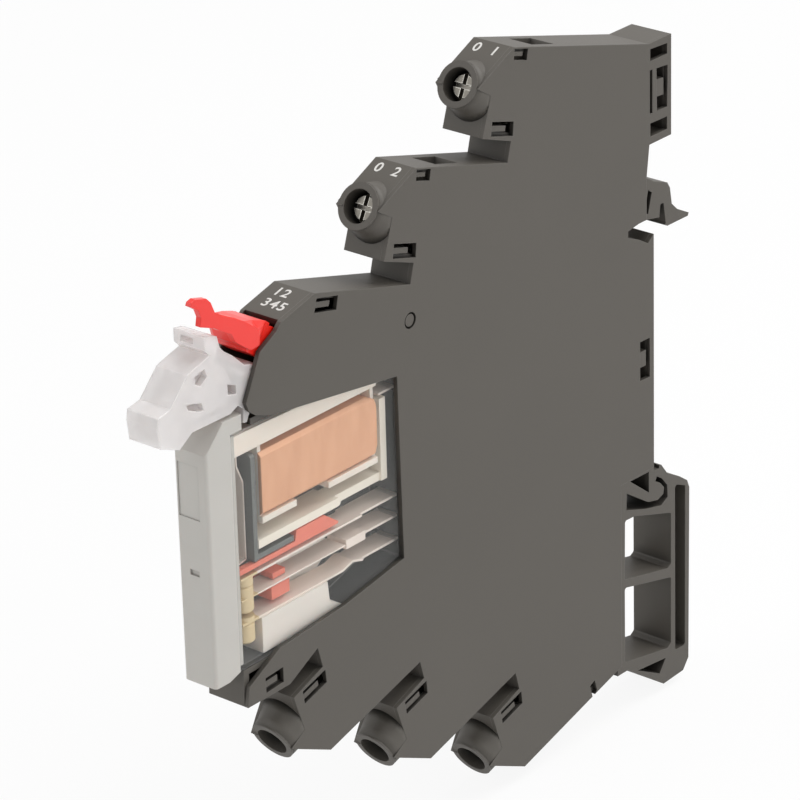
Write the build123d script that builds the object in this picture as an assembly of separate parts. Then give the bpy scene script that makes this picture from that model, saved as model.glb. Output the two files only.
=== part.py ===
from build123d import *
import os
from math import atan2, cos, degrees, hypot, radians, sin, tan

# Slim relay module for a 35 mm mounting rail, in millimetres.
# X is the thickness (the clear, broad side is +X), Y runs from the terminals at the front (-Y) to the
# rail at the rear (+Y), and Z is up. The origin is on the rail's centreline, on the face that seats on it.

# Casing sizes
THICKNESS = 6.2
FAR_WALL = 0.5
COVER_WALL = 0.6
RIM = 0.9
COVER_PLAY = 0.05
TILT = 15.5            # slope of the terminal tiers, degrees
TIER_STEP = (18.8, 9.55)
TOP_FOLD = (-27.9, 49.15)
FLANK = THICKNESS / 2
INNER_FAR = -FLANK + FAR_WALL
INNER_NEAR = FLANK - COVER_WALL

# Rail
RAIL_HEIGHT = 35.0
RAIL_SHEET = 1.0
RAIL_PLAY = 0.2
SEAT_TOP = 15.8
SEAT_BOTTOM = -17.0
BODY_REAR = -7.1

# Screw terminals
SCREW_ANGLE = 27.8     # tilt of the screw axes from the horizontal, degrees
BARREL_RADIUS = 2.9
BARREL_BORE = 2.1
BARREL_DEPTH = 3.0
BARREL_WEB = 0.8
HEAD_RADIUS = 1.7
HEAD_HEIGHT = 1.6
HEAD_SUNK = 1.3
SHANK_RADIUS = 1.25
THREAD_PLAY = 0.05
CLAMP_WIDTH = 4.2
CLAMP_WALL = 0.6
CLAMP_DEPTH = 8.0
CLAMP_LENGTH = 3.8
CLAMP_NUT = 1.2
CLAMP_START = 6.6
BAR_START = 10.0
BAR_THICKNESS = 0.6
TAB_PLAY = 0.2
WIRE_ENTRY = (4.4, 3.6)
WIRE_ENTRY_PLACE = 7.5

# Relay
RELAY_HALF = 2.5
RELAY_FRONT = -84.6
SHOULDER_BACK = -78.3
HEEL_BACK = -77.2
HEAD_DEPTH = 4.3
LABEL_DEPTH = 0.12
RELAY_REAR = -50.4
CASE_TOP = 17.2
CASE_BOTTOM = -13.2
CASE_WALL = 0.35
CASE_CORNER = (10.1, 3.0)
BAY_PLAY = 0.15
BAY_WALL = 0.8
BLADE_THICKNESS = 0.3
BLADE_WIDTH = 3.0
BLADE_REACH = 3.6
COIL_HEIGHTS = (14.8, 12.2)
CONTACT_HEIGHTS = {"closed": -2.15, "common": -4.9, "open": -8.05}

# Electromagnet
COIL_HALF = 2.1
COIL_BOTTOM = 4.7
COIL_TOP = 12.8
COIL_FRONT = -74.85
COIL_REAR = -54.0
FLANGE = 0.55
FLANGE_HALF = 1.6
CORE_RADIUS = 1.2
CORE_Z = 8.8
YOKE_SHEET = 1.1
YOKE_TOP = 1.9
ARMATURE_SHEET = 0.7
ARMATURE_FACE = -75.8
ARMATURE_TOP = 13.1

# Contacts
CONTACT_X = 0.8
CONTACT_Y = -77.4
CONTACT_RADIUS = 1.2
CONTACT_GAP = 0.5
LEAF = 0.2

# Sockets for the relay's blades
FORK_FRONT = -49.2
FORK_DEPTH = 3.7
FORK_HEIGHT = 2.1
FORK_SLOT = 0.5
FORK_SHEET = 0.6

# Levers
LEVER_HALF = 2.35
LEVER_PIVOT = (-74.6, 22.4)
LATCH_PIVOT = (-73.4, 25.6)
LATCH_HEEL = 2.7
BEAK_FAR = 0.9
PIN_RADIUS = 0.6
HUB_RADIUS = 1.3

# Circuit board
BOARD_SHEET = 0.8
BOARD_X = -1.2
BOARD_FACE = BOARD_X + BOARD_SHEET
LED_RADIUS = 1.5
LED_Z = 21.9
LEVER_BAY_REAR = -69.6
LOCATING_PIN = (-48.5, 20.7)
LOCATING_RADIUS = 0.8


# Drawing helpers: every profile is drawn from the broad side, as (Y, Z) points.
def face(points, radius=0.0):
    if radius:
        return make_face(FilletPolyline(*points, radius=radius, close=True))
    return make_face(Polyline(*points, close=True))


def slab(profile, low, high):
    return extrude(Plane.YZ.offset(low) * profile, amount=high - low)


def disc(centre, radius):
    return Pos(centre[0], centre[1]) * Circle(radius)


def post(centre, radius, low, high):
    return slab(disc(centre, radius), low, high)


def block(y_range, z_range, low, high):
    width = y_range[1] - y_range[0]
    height = z_range[1] - z_range[0]
    middle = ((y_range[0] + y_range[1]) / 2, (z_range[0] + z_range[1]) / 2)
    return slab(Pos(*middle) * Rectangle(width, height), low, high)


def band(points, width):
    """A strip of constant width along a line of points, with round corners."""
    shape = None
    for start, end in zip(points, points[1:]):
        length = hypot(end[0] - start[0], end[1] - start[1])
        turn = degrees(atan2(end[1] - start[1], end[0] - start[0]))
        middle = ((start[0] + end[0]) / 2, (start[1] + end[1]) / 2)
        piece = Pos(*middle) * Rot(0, 0, turn) * Rectangle(length, width)
        shape = piece if shape is None else shape + piece
    for corner in points[1:-1]:
        shape += disc(corner, width / 2)
    return shape


def single(shape):
    """The one solid of a shape, so that each file holds a plain solid."""
    solids = shape.solids()
    return solids[0] if len(solids) == 1 else Compound(children=list(solids))


# Tiers: side is 1 for the tiers above the rail and -1 for those below it.
TERMINALS = {1: (0, 1), 2: (1, 1), 3: (2, -1), 4: (1, -1), 5: (0, -1)}
NOSE = {"tip": (-7.1, -3.25), "neck": (-4.6, -4.8), "lip": (-6.3, -9.8), "slot": (-0.9, -11.75)}
SNAP_WINDOW = [(-4.4, -8.2), (-0.3, -9.4), (-0.5, -11.2), (-4.7, -10.0)]
FOLD_WINDOW = [(0.1, -0.25), (2.7, -0.95), (2.4, -2.35), (-0.1, -1.6)]
TIER_WINDOW = [(0.3, -0.75), (4.1, -1.65), (3.7, -3.35), (-0.2, -2.45)]
CHEEK = [(0.0, 0.0), (-7.45, -3.55), (-6.55, -5.25), (-5.45, -7.1), (-5.6, -8.3), NOSE["lip"], NOSE["slot"]]
CHEEK_DEPTH = 0.9


def place(tier, side, offset=(0.0, 0.0)):
    y = TOP_FOLD[0] - tier * TIER_STEP[0] + offset[0]
    z = TOP_FOLD[1] - tier * TIER_STEP[1] + offset[1]
    return (y, side * z)


def tier_height(tier, y):
    fold = place(tier, 1)
    return fold[1] - tan(radians(TILT)) * (y - fold[0])


def slot_foot(tier):
    """Where the back wall of the wire slot under a nose meets the tier in front."""
    y, z = place(tier, 1, NOSE["slot"])
    slope = tan(radians(TILT))
    fall = (z - tier_height(tier + 1, y)) / (cos(radians(TILT)) + slope * sin(radians(TILT)))
    return (y - fall * sin(radians(TILT)), z - fall * cos(radians(TILT)))


def nose(tier, side):
    return [place(tier, side)] + [place(tier, side, NOSE[k]) for k in ("tip", "neck", "lip", "slot")]


def below(point):
    return (point[0], -point[1])


# Casing outlines
BLOCK_REAR = 3.7
BLOCK_BOTTOM = 28.2
BLOCK_TOP = tier_height(0, -1.0)
TIER_END = (-71.5, 28.5)
FRONT_SILL = (-79.9, -18.1)
SILL_BACK = (-72.4, -18.1)

REAR_EDGE = [(0.0, SEAT_BOTTOM), (0.0, SEAT_TOP), (-1.2, 14.9), (-2.9, 15.9), (-5.4, 17.0), (-5.4, 17.9),
             (-3.2, 18.2), (-1.5, 18.3), (-1.5, 23.9), (-0.9, BLOCK_BOTTOM), (BLOCK_REAR, BLOCK_BOTTOM),
             (BLOCK_REAR, BLOCK_TOP), (-1.0, BLOCK_TOP)]
UPPER_EDGE = nose(0, 1) + [slot_foot(0)] + nose(1, 1) + [slot_foot(1), place(2, 1), TIER_END]
LEVER_EDGE = [(-72.4, 27.6), (-75.3, 26.1), (-76.8, 23.0), (-78.0, 20.6)]
SILL_FOOT = (NOSE["slot"][0] - 0.8, NOSE["slot"][1] - 2.9)
LOWER_EDGE = ([FRONT_SILL, SILL_BACK, place(2, -1, SILL_FOOT)] + nose(2, -1)[::-1]
              + [below(slot_foot(1))] + nose(1, -1)[::-1] + [below(slot_foot(0))] + nose(0, -1)[::-1]
              + [(BODY_REAR, -tier_height(0, BODY_REAR)), (BODY_REAR, SEAT_BOTTOM)])
TRAY_FRONT = [(-79.8, 18.6), (-79.8, -14.6)]
WINDOW_EDGE = [(-77.6, 19.5), (-76.5, 18.6), (-73.8, 17.6), (-51.2, 14.4), (-50.8, -10.0), (-62.0, -11.8),
               (-73.9, -12.6), (-79.5, -15.5)]
TRAY_OUTLINE = REAR_EDGE + UPPER_EDGE + LEVER_EDGE + TRAY_FRONT + LOWER_EDGE
COVER_OUTLINE = REAR_EDGE + UPPER_EDGE + LEVER_EDGE + WINDOW_EDGE + LOWER_EDGE


def relay_bay(gap, front):
    corner_y, corner_z = CASE_CORNER
    rear = RELAY_REAR + gap
    return [(front, CASE_TOP + gap), (rear, CASE_TOP + gap), (rear, CASE_BOTTOM + corner_z - gap),
            (RELAY_REAR - corner_y, CASE_BOTTOM - gap), (front, CASE_BOTTOM - gap)]


def terminal_frame(number):
    """Origin on the barrel's mouth, z along the screw into the casing, y away from the wire entry."""
    tier, side = TERMINALS[number]
    mouth = place(tier, side, NOSE["tip"])
    axis = (0, cos(radians(SCREW_ANGLE)), -side * sin(radians(SCREW_ANGLE)))
    return Plane(origin=(0, mouth[0], mouth[1]), x_dir=(side, 0, 0), z_dir=axis)


def terminal_point(number, depth, offset):
    """(Y, Z) of a point at a depth along the screw and an offset away from the wire entry."""
    point = terminal_frame(number).from_local_coords(Vector(0, offset, depth))
    return (point.Y, point.Z)


def rod(radius, start, length):
    return Pos(0, 0, start) * Cylinder(radius, length, align=(Align.CENTER, Align.CENTER, Align.MIN))


def bar(size, start, offset=0.0):
    """A box along the screw's direction, start being its depth and offset its centre across."""
    return Pos(0, offset, start) * Box(*size, align=(Align.CENTER, Align.CENTER, Align.MIN))


def window_tab(points):
    """The tray's catch, which fills the front part of a snap window."""
    corner, right, _, bottom = points
    across = (right[0] - corner[0], right[1] - corner[1])
    down = (bottom[0] - corner[0], bottom[1] - corner[1])

    def at(u, v):
        return (corner[0] + u * across[0] + v * down[0], corner[1] + u * across[1] + v * down[1])

    return [at(0.03, 0.28), at(0.68, 0.28), at(0.68, 0.68), at(0.03, 0.68)]


SNAP_WINDOWS = ([[place(t, s, p) for p in SNAP_WINDOW] for t, s in TERMINALS.values()]
                + [[place(t, 1, p) for p in FOLD_WINDOW] for t in (0, 1)]
                + [[place(2, 1, p) for p in TIER_WINDOW]])
SILL_WINDOW = [(-76.7, -15.5), (-73.5, -15.3), (-73.5, -17.3), (-76.6, -17.5)]
REAR_WINDOW = [(-2.95, 1.75), (-0.87, 1.7), (-0.87, -3.8), (-2.95, -3.7)]
BLOCK_WINDOW = [(0.6, 38.0), (2.95, 37.8), (2.85, 32.2), (0.7, 32.3)]
END_WINDOW = [(-14.0, -43.4), (-13.0, -42.9), (-12.5, -44.6), (-13.4, -45.4)]
BLOCK_RECESSES = [[(-0.7, 40.9), (2.85, 40.7), (2.85, 39.3), (-0.7, 39.3)],
                  [(-0.8, 38.1), (-0.25, 38.1), (-0.25, 32.3), (-0.8, 32.3)],
                  [(-0.7, 31.0), (2.85, 30.9), (2.85, 29.2), (-0.7, 29.2)]]
CATCH_WINDOWS = SNAP_WINDOWS + [SILL_WINDOW, REAR_WINDOW, BLOCK_WINDOW]


def hook():
    """The fixed hook over the rail's upper edge."""
    lip = RAIL_SHEET + RAIL_PLAY - 0.05
    seat = RAIL_HEIGHT / 2 + RAIL_PLAY
    outline = [(-3.2, 18.2), (-1.5, 18.2), (lip, seat), (lip, 17.0), (2.9, 15.95), (7.3, 15.9), (7.5, 16.3),
               (5.0, 17.6), (3.85, 18.7), (3.46, 21.0), (2.9, 21.9), (0.0, 23.0), (-1.5, 23.9), (-3.2, 23.9)]
    groove = face([(1.0, 16.4), (1.4, 19.4), (2.1, 19.4), (2.6, 16.2)], 0.25)
    relief = face([(-1.2, 22.2), (-0.4, 21.6), (-1.2, 18.9), (-1.9, 19.2)])
    shape = slab(face(outline), -FLANK, FLANK)
    return shape - slab(groove, 0, FLANK) - slab(relief, 0, FLANK)


def foot():
    """The springy foot under the rail: an outer spine on curved ribs, with a latching nose inside it."""
    barb = RAIL_SHEET + RAIL_PLAY
    ledge = -RAIL_HEIGHT / 2 - RAIL_PLAY / 2
    outline = [(0.0, SEAT_BOTTOM), (-0.15, ledge), (barb - 0.1, ledge - 0.05), (barb, ledge + 0.4),
               (barb + 0.4, ledge + 0.3), (2.9, -19.0), (5.6, -20.5), (7.3, -21.7), (7.8, -22.9), (7.7, -48.2),
               (6.5, -49.7), (2.1, -49.9), (-2.0, -47.1), (-5.8, -44.5), (BODY_REAR - RIM, -44.5),
               (BODY_REAR - RIM, SEAT_BOTTOM)]
    vee = [(-5.2, -17.15), (-1.1, -17.3), (-1.1, -20.3)]
    pocket = [(-5.9, -18.6), (-1.3, -21.6), (0.8, -22.1), (2.0, -21.7), (2.2, -20.8), (1.3, -19.8), (0.3, -19.2),
              (0.6, -18.6), (1.7, -19.3), (2.9, -20.7), (3.0, -22.5), (1.6, -23.2), (-1.8, -22.4), (-6.0, -21.0)]
    upper = [(-6.3, -22.4), (-4.3, -22.5), (3.75, -25.1), (3.75, -32.6), (3.0, -33.0), (-6.4, -30.9)]
    lower = [(-6.4, -32.1), (3.76, -34.6), (3.76, -44.4), (3.0, -44.9), (-6.4, -43.1)]
    spine = [(4.6, -21.3), (6.9, -22.3), (6.9, -46.0), (4.7, -45.9)]
    toe = [(-3.6, -45.5), (2.6, -46.2), (1.2, -48.0)]
    shape = slab(face(outline), -FLANK, FLANK)
    for opening in (upper, lower):
        shape -= slab(face(opening, 0.35), -FLANK, FLANK)
    shape -= slab(face(vee), -FLANK, FLANK)
    shape -= slab(face(pocket), -FLANK, FLANK)
    shape -= slab(face(spine, 0.4), -FLANK + RIM, FLANK)
    return shape - slab(face(toe), 0, FLANK)


def housing():
    """The tray: far wall, rim, tier noses with their screw barrels, relay bay, rail hook and foot."""
    outline = face(TRAY_OUTLINE)
    shape = slab(outline, -FLANK, INNER_NEAR)
    cavity = outline - band(TRAY_OUTLINE + TRAY_OUTLINE[:2], 2 * RIM)
    shape -= slab(cavity, INNER_FAR, INNER_NEAR)
    front = TRAY_FRONT[0][0]
    frame = slab(face(relay_bay(BAY_PLAY + BAY_WALL, front)), -FLANK, INNER_NEAR)
    shape += frame - slab(face(relay_bay(BAY_PLAY, front)), INNER_FAR, INNER_NEAR)
    shape -= slab(face(relay_bay(BAY_PLAY, front - 1)), INNER_FAR, INNER_NEAR)
    bay_top = CASE_TOP + BAY_PLAY + BAY_WALL
    lever_bay = [(LEVER_BAY_REAR, bay_top), (LEVER_BAY_REAR, 27.9), (TIER_END[0] + 0.4, 27.5),
                 (TIER_END[0], 30.0), (-90.0, 30.0), (-90.0, bay_top)]
    shape += block((LEVER_BAY_REAR, LEVER_BAY_REAR + BAY_WALL), (bay_top - 0.2, 28.6), -FLANK, INNER_NEAR)
    shape -= slab(face(lever_bay), INNER_FAR, INNER_NEAR)
    shape -= block((-90.0, HEEL_BACK + 0.4), (CASE_TOP, bay_top + 1), INNER_FAR, INNER_NEAR)
    for height in list(COIL_HEIGHTS) + list(CONTACT_HEIGHTS.values()):
        shape -= block((RELAY_REAR, RELAY_REAR + 2), (height - 0.4, height + 0.4),
                       -BLADE_WIDTH / 2 - 0.2, BLADE_WIDTH / 2 + 0.2)
    shape -= Pos(0, LEVER_BAY_REAR, LED_Z) * Rot(90, 0, 0) * Cylinder(LED_RADIUS + 0.1, 4)
    shape += (hook() + foot()) - slab(face(COVER_OUTLINE), INNER_NEAR, FLANK)
    for number in TERMINALS:
        frame = terminal_frame(number)
        shape += frame * rod(BARREL_RADIUS, 0, BARREL_DEPTH + BARREL_WEB)
    for number, (tier, side) in TERMINALS.items():
        frame = terminal_frame(number)
        cheek = [place(tier, side, point) for point in CHEEK]
        shape += slab(face(cheek), -FLANK, -FLANK + CHEEK_DEPTH)
        shape -= frame * rod(BARREL_BORE, -4, 4 + BARREL_DEPTH)
        shape -= frame * rod(SHANK_RADIUS + 0.1, 0, BARREL_DEPTH + BARREL_WEB + 1)
        middle = place(tier, side, (WIRE_ENTRY_PLACE * cos(radians(TILT)), -WIRE_ENTRY_PLACE * sin(radians(TILT))))
        entry = Pos(*middle) * Rot(0, 0, -side * SCREW_ANGLE) * Rectangle(WIRE_ENTRY[0], 2.6)
        shape -= slab(entry, -WIRE_ENTRY[1] / 2, WIRE_ENTRY[1] / 2)
    for window in CATCH_WINDOWS:
        shape += slab(face(window_tab(window)), -FLANK, FLANK - 0.15)
    shape += post(LOCATING_PIN, LOCATING_RADIUS, -FLANK, FLANK - 0.1)
    for peg in board_pegs():
        shape += post(peg, 1.1, -FLANK, BOARD_X)
    for peg in strip_pegs():
        shape += post(peg, 0.9, -FLANK, -FORK_SHEET / 2)
    return single(shape)


def side_cover():
    """The near plate, snapped over the tray's catches and open over the relay."""
    shape = slab(face(COVER_OUTLINE), INNER_NEAR, FLANK)
    for window in CATCH_WINDOWS + [END_WINDOW] + BLOCK_RECESSES:
        shape -= slab(face(window), INNER_NEAR, FLANK)
    shape -= post(LOCATING_PIN, LOCATING_RADIUS + 0.25, INNER_NEAR, FLANK)
    for number in TERMINALS:
        shape -= terminal_frame(number) * rod(BARREL_RADIUS + COVER_PLAY, -1, BARREL_DEPTH + BARREL_WEB + 1.1)
    return single(shape)


def terminal_screw(number):
    head = rod(HEAD_RADIUS, HEAD_SUNK, HEAD_HEIGHT)
    head = chamfer(head.edges().group_by(Axis.Z)[0], 0.25)
    for turn in (0, 90):
        head -= Rot(0, 0, turn) * bar((0.55, 2 * HEAD_RADIUS, 0.75), HEAD_SUNK)
    shank_start = HEAD_SUNK + HEAD_HEIGHT
    return terminal_frame(number) * (head + rod(SHANK_RADIUS, shank_start, BAR_START - 0.1 - shank_start))


def clamp_cage(number):
    body = bar((CLAMP_WIDTH, CLAMP_LENGTH, CLAMP_DEPTH), CLAMP_START)
    body = fillet(body.edges().filter_by(Axis.Y), 0.4)
    inside = CLAMP_DEPTH - CLAMP_NUT - CLAMP_WALL - 0.2
    body -= bar((CLAMP_WIDTH - 2 * CLAMP_WALL, CLAMP_LENGTH + 1, inside), CLAMP_START + CLAMP_NUT)
    body -= rod(SHANK_RADIUS + THREAD_PLAY, CLAMP_START - 1, CLAMP_NUT + 2)
    return terminal_frame(number) * body


def fork(height, tail):
    """Flat tuning-fork contact, open to the front, with a stem that leaves from its rear."""
    rear = FORK_FRONT + FORK_DEPTH
    shape = Pos((FORK_FRONT + rear) / 2 + 0.5, height) * Rectangle(FORK_DEPTH + 1, FORK_HEIGHT)
    shape -= Pos((FORK_FRONT + rear) / 2, height) * Rectangle(FORK_DEPTH + 0.01, FORK_SLOT)
    return shape + band([(rear + 0.5, height)] + tail, 1.5)


STRIP_ROUTES = {
    3: ("open", [(-44.2, -8.05), (-45.2, -12.6), (-51.5, -15.6), (-59.5, -16.6), (-63.0, -17.6)]),
    4: ("common", [(-42.4, -4.9), (-42.4, -24.0)]),
    5: ("closed", [(-39.3, -2.15), (-37.5, -14.0), (-27.4, -31.5)]),
}


def terminal_strip(number):
    """Stamped bar from a clamp to the relay's contact fork, or to a lug on the circuit board."""
    tab = terminal_frame(number) * bar((CLAMP_WIDTH - 2 * CLAMP_WALL - TAB_PLAY, 5.0, BAR_THICKNESS),
                                      BAR_START, 0.25)
    middle = BAR_START + BAR_THICKNESS / 2
    if number in STRIP_ROUTES:
        contact, route = STRIP_ROUTES[number]
        route = route + [terminal_point(number, middle + 1.2, 2.9), terminal_point(number, middle, 2.2)]
        profile = fork(CONTACT_HEIGHTS[contact], route)
        return single(tab + slab(profile, -FORK_SHEET / 2, FORK_SHEET / 2))
    start = terminal_point(number, middle, 2.2)
    knee = terminal_point(number, middle + 2.0, 3.4)
    lug = (knee[0] + 0.6, BOARD_LUGS[number])
    profile = band([start, knee, lug], 1.5) + disc(lug, 1.3)
    return single(tab + slab(profile, BOARD_FACE, BOARD_FACE + FORK_SHEET))


BOARD_LUGS = {1: 23.6, 2: 21.9}
BOARD_OUTLINE = [(-8.0, -10.0), (-8.0, 26.0), (-40.0, 26.0), (-40.0, 24.2), (-68.2, 24.2), (-68.2, 19.4),
                 (-43.6, 19.4), (-43.6, 6.0), (-36.0, 0.0), (-36.0, -10.0)]


def board_pegs():
    return [(-10.5, -7.5), (-33.5, -7.5), (-10.5, 23.5), (-41.5, 9.0)]


def strip_pegs():
    return [(-55.5, -16.3), (-42.4, -16.0), (-38.0, -10.5)]


def circuit_board():
    shape = slab(face(BOARD_OUTLINE), BOARD_X, BOARD_FACE)
    return single(shape - post(LOCATING_PIN, LOCATING_RADIUS + 0.1, BOARD_X, BOARD_FACE))


def coil_clip(height):
    profile = fork(height, [(-41.6, height)])
    return single(slab(profile, BOARD_FACE, BOARD_FACE + FORK_SHEET))


def bridge_rectifier():
    body = block((-32.0, -26.5), (6.0, 13.0), BOARD_FACE + 0.2, BOARD_FACE + 2.4)
    body = chamfer(body.edges().group_by(Axis.X)[-1], 0.35)
    for y in (-31.4, -27.7):
        for z in (5.2, 13.0):
            body += block((y, y + 0.6), (z, z + 0.8), BOARD_FACE, BOARD_FACE + 0.9)
    return body


def smoothing_capacitor():
    """A small can lying on the board, along Y."""
    radius = 1.35
    body = Pos(BOARD_FACE + radius, -17.0, 9.0) * Rot(90, 0, 0) * Cylinder(radius, 8.0)
    body = chamfer(body.edges(), 0.25)
    groove = Pos(BOARD_FACE + radius, -14.6, 9.0) * Rot(90, 0, 0) * (Cylinder(radius + 1, 0.5)
                                                                   - Cylinder(radius - 0.15, 0.5))
    body -= groove
    return body + block((-22.2, -20.8), (8.6, 9.4), BOARD_FACE, BOARD_FACE + radius)


def resistor(z):
    """A dumb-bell resistor lying along Y, its leads bent to the board."""
    x = BOARD_FACE + 1.0
    body = Pos(x, -29.5, z) * Rot(90, 0, 0) * Cylinder(0.75, 6.4)
    for y in (-32.1, -26.9):
        body += Pos(x, y, z) * Rot(90, 0, 0) * Cylinder(0.95, 1.2)
    body = body + Pos(x, -29.5, z) * Rot(90, 0, 0) * Cylinder(0.3, 9.4)
    for y in (-34.0, -25.1):
        body += block((y, y + 0.1 + 0.5), (z - 0.3, z + 0.3), BOARD_FACE, x)
    return body


def varistor():
    body = Pos(BOARD_FACE + 1.1, -16.0, -1.5) * Rot(0, 90, 0) * Cylinder(3.4, 1.8)
    body = chamfer(body.edges(), 0.4)
    for z in (-3.2, 0.2):
        body += block((-16.3, -15.7), (z - 0.3, z + 0.3), BOARD_FACE, BOARD_FACE + 0.6)
    return body


def indicator_led():
    """A 3 mm lamp that shines through the lever."""
    rear = BOARD_OUTLINE[4][0]
    body = Pos(0, rear - 1.2, LED_Z) * Rot(90, 0, 0) * Cylinder(LED_RADIUS, 2.4)
    body += Pos(0, rear - 2.4, LED_Z) * Sphere(LED_RADIUS)
    body = body & block((rear - 6.0, rear), (LED_Z - 3, LED_Z + 3), -2, 2)
    for z in (LED_Z - 1.0, LED_Z + 0.5):
        body += block((rear, rear + 3.0), (z, z + 0.5), BOARD_FACE, BOARD_FACE + 0.5)
    return body


def relay_front():
    """The relay's moulded head, which closes the clear case."""
    back = RELAY_FRONT + HEAD_DEPTH
    outline = [(RELAY_FRONT, CASE_BOTTOM - 0.7), (RELAY_FRONT, 16.2), (-81.5, 19.3), (SHOULDER_BACK, 19.3),
               (SHOULDER_BACK, CASE_TOP + 0.1), (back, CASE_TOP + 0.1), (back, CASE_BOTTOM - 0.1),
               (-82.2, CASE_BOTTOM - 0.7)]
    shape = slab(face(outline), -RELAY_HALF, RELAY_HALF)
    shape = fillet(shape.edges().filter_by(Axis.Z).group_by(Axis.Y)[0], 0.5)
    plug = CASE_WALL + 0.05
    inner = RELAY_HALF - plug
    shape -= block((RELAY_FRONT, RELAY_FRONT + LABEL_DEPTH), (7.6, 14.5), -2.0, 1.2)
    shape -= block((RELAY_FRONT, RELAY_FRONT + 2 * LABEL_DEPTH), (0.3, 1.0), -0.7, 0.7)
    return shape + block((back, back + 1.0), (CASE_BOTTOM + plug, CASE_TOP - plug), -inner, inner)


def relay_case():
    """Clear box, open at the front, with a slot in its rear wall for each blade."""
    front = RELAY_FRONT + HEAD_DEPTH
    outer = slab(face(relay_bay(0, front)), -RELAY_HALF, RELAY_HALF)
    inner_points = relay_bay(-CASE_WALL, front)
    inner = slab(face(inner_points), -RELAY_HALF + CASE_WALL, RELAY_HALF - CASE_WALL)
    shape = outer - inner
    slot = BLADE_THICKNESS / 2
    for height in list(COIL_HEIGHTS) + list(CONTACT_HEIGHTS.values()):
        shape -= block((RELAY_REAR - 1, RELAY_REAR + 1), (height - slot, height + slot),
                       -BLADE_WIDTH / 2, BLADE_WIDTH / 2)
    return single(shape)


RAIL_BOTTOM = 13.9
RAIL_END = -59.0
HEAD_PLUG = RELAY_FRONT + HEAD_DEPTH + 1.0


def bobbin():
    """Coil former: tube, two flanges sunk in the winding, and the rails that carry the coil's pins."""
    half = COIL_HALF - 0.05
    shape = block((COIL_FRONT, COIL_REAR), (CORE_Z - 2.0, CORE_Z + 2.0), -1.35, 1.35)
    for low in (COIL_FRONT, COIL_REAR - FLANGE):
        shape += block((low, low + FLANGE), (COIL_BOTTOM - 0.5, RAIL_BOTTOM + 0.2), -FLANGE_HALF, FLANGE_HALF)
    top = [(HEAD_PLUG, RAIL_BOTTOM), (HEAD_PLUG, 16.6), (RAIL_END, 16.0), (RAIL_END + 0.6, 15.3),
           (RAIL_END + 0.2, 14.9), (-53.6, 14.7), (COIL_REAR, RAIL_BOTTOM)]
    shape += slab(face(top), -half, half)
    for low, high in ((COIL_FRONT, -68.8), (-63.0, COIL_REAR)):
        shape += block((low, high), (COIL_BOTTOM - 0.9, COIL_BOTTOM - 0.1), -half, half)
    shape -= Pos(0, (COIL_FRONT + COIL_REAR) / 2, CORE_Z) * Rot(90, 0, 0) * Cylinder(CORE_RADIUS, 40)
    pin = COIL_HEIGHTS[0] - BLADE_THICKNESS / 2
    return single(shape - block((RAIL_END - 1.5, -53.0), (pin, pin + 2), -BLADE_WIDTH / 2, BLADE_WIDTH / 2))


def coil_winding():
    outline = Rectangle(2 * COIL_HALF, COIL_TOP - COIL_BOTTOM)
    outline = chamfer(outline.vertices(), 0.5)
    hole = Pos(0, CORE_Z - (COIL_TOP + COIL_BOTTOM) / 2) * Rectangle(2.7, 4.0)
    middle = Plane(origin=(0, COIL_FRONT, (COIL_TOP + COIL_BOTTOM) / 2), x_dir=(-1, 0, 0), z_dir=(0, 1, 0))
    shape = extrude(middle * (outline - hole), amount=COIL_REAR - COIL_FRONT)
    side = [(COIL_FRONT, COIL_BOTTOM), (COIL_FRONT, COIL_TOP), (COIL_REAR - 1.4, COIL_TOP),
            (COIL_REAR - 0.4, COIL_TOP - 0.5), (COIL_REAR, COIL_TOP - 1.5), (COIL_REAR, COIL_BOTTOM + 1.5),
            (COIL_REAR - 0.4, COIL_BOTTOM + 0.5), (COIL_REAR - 1.4, COIL_BOTTOM)]
    shape = shape & slab(face(side), -COIL_HALF, COIL_HALF)
    for low in (COIL_FRONT, COIL_REAR - FLANGE):
        shape -= block((low, low + FLANGE), (COIL_BOTTOM - 1, COIL_TOP + 1), -FLANGE_HALF, FLANGE_HALF)
    return single(shape)


def core():
    front = ARMATURE_FACE + 0.68
    length = YOKE_REAR_FACE - front
    return Pos(0, front + length / 2, CORE_Z) * Rot(90, 0, 0) * Cylinder(CORE_RADIUS, length)


YOKE_REAR_FACE = COIL_REAR + 1.1


def yoke():
    """L-shaped iron: a leg behind the coil, riveted to the core, and a leg below it to the armature."""
    leg = block((YOKE_REAR_FACE, YOKE_REAR_FACE + YOKE_SHEET), (YOKE_TOP - YOKE_SHEET, 11.6), -1.6, 1.6)
    nose_round = YOKE_SHEET / 2
    tongue = block((ARMATURE_FACE + 0.15, -60.9), (YOKE_TOP - YOKE_SHEET, YOKE_TOP), -2.0, 2.0)
    tongue = fillet(tongue.edges().filter_by(Axis.X).group_by(Axis.Y)[-1], nose_round * 0.9)
    tail = block((-62.0, YOKE_REAR_FACE + YOKE_SHEET), (YOKE_TOP - YOKE_SHEET, YOKE_TOP), -1.3, 1.3)
    return single(leg + tongue + tail)


def armature():
    """Hinged plate in front of the pole, with a foot under the yoke that presses on the card."""
    back = ARMATURE_FACE - ARMATURE_SHEET
    plate = block((back, ARMATURE_FACE), (-0.6, ARMATURE_TOP), -2.0, 2.0)
    plate = fillet(plate.edges().filter_by(Axis.Y).group_by(Axis.Z)[-1], 0.5)
    return single(plate + block((ARMATURE_FACE, -69.4), (-0.6, 0.1), -1.9, 1.9))


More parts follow.
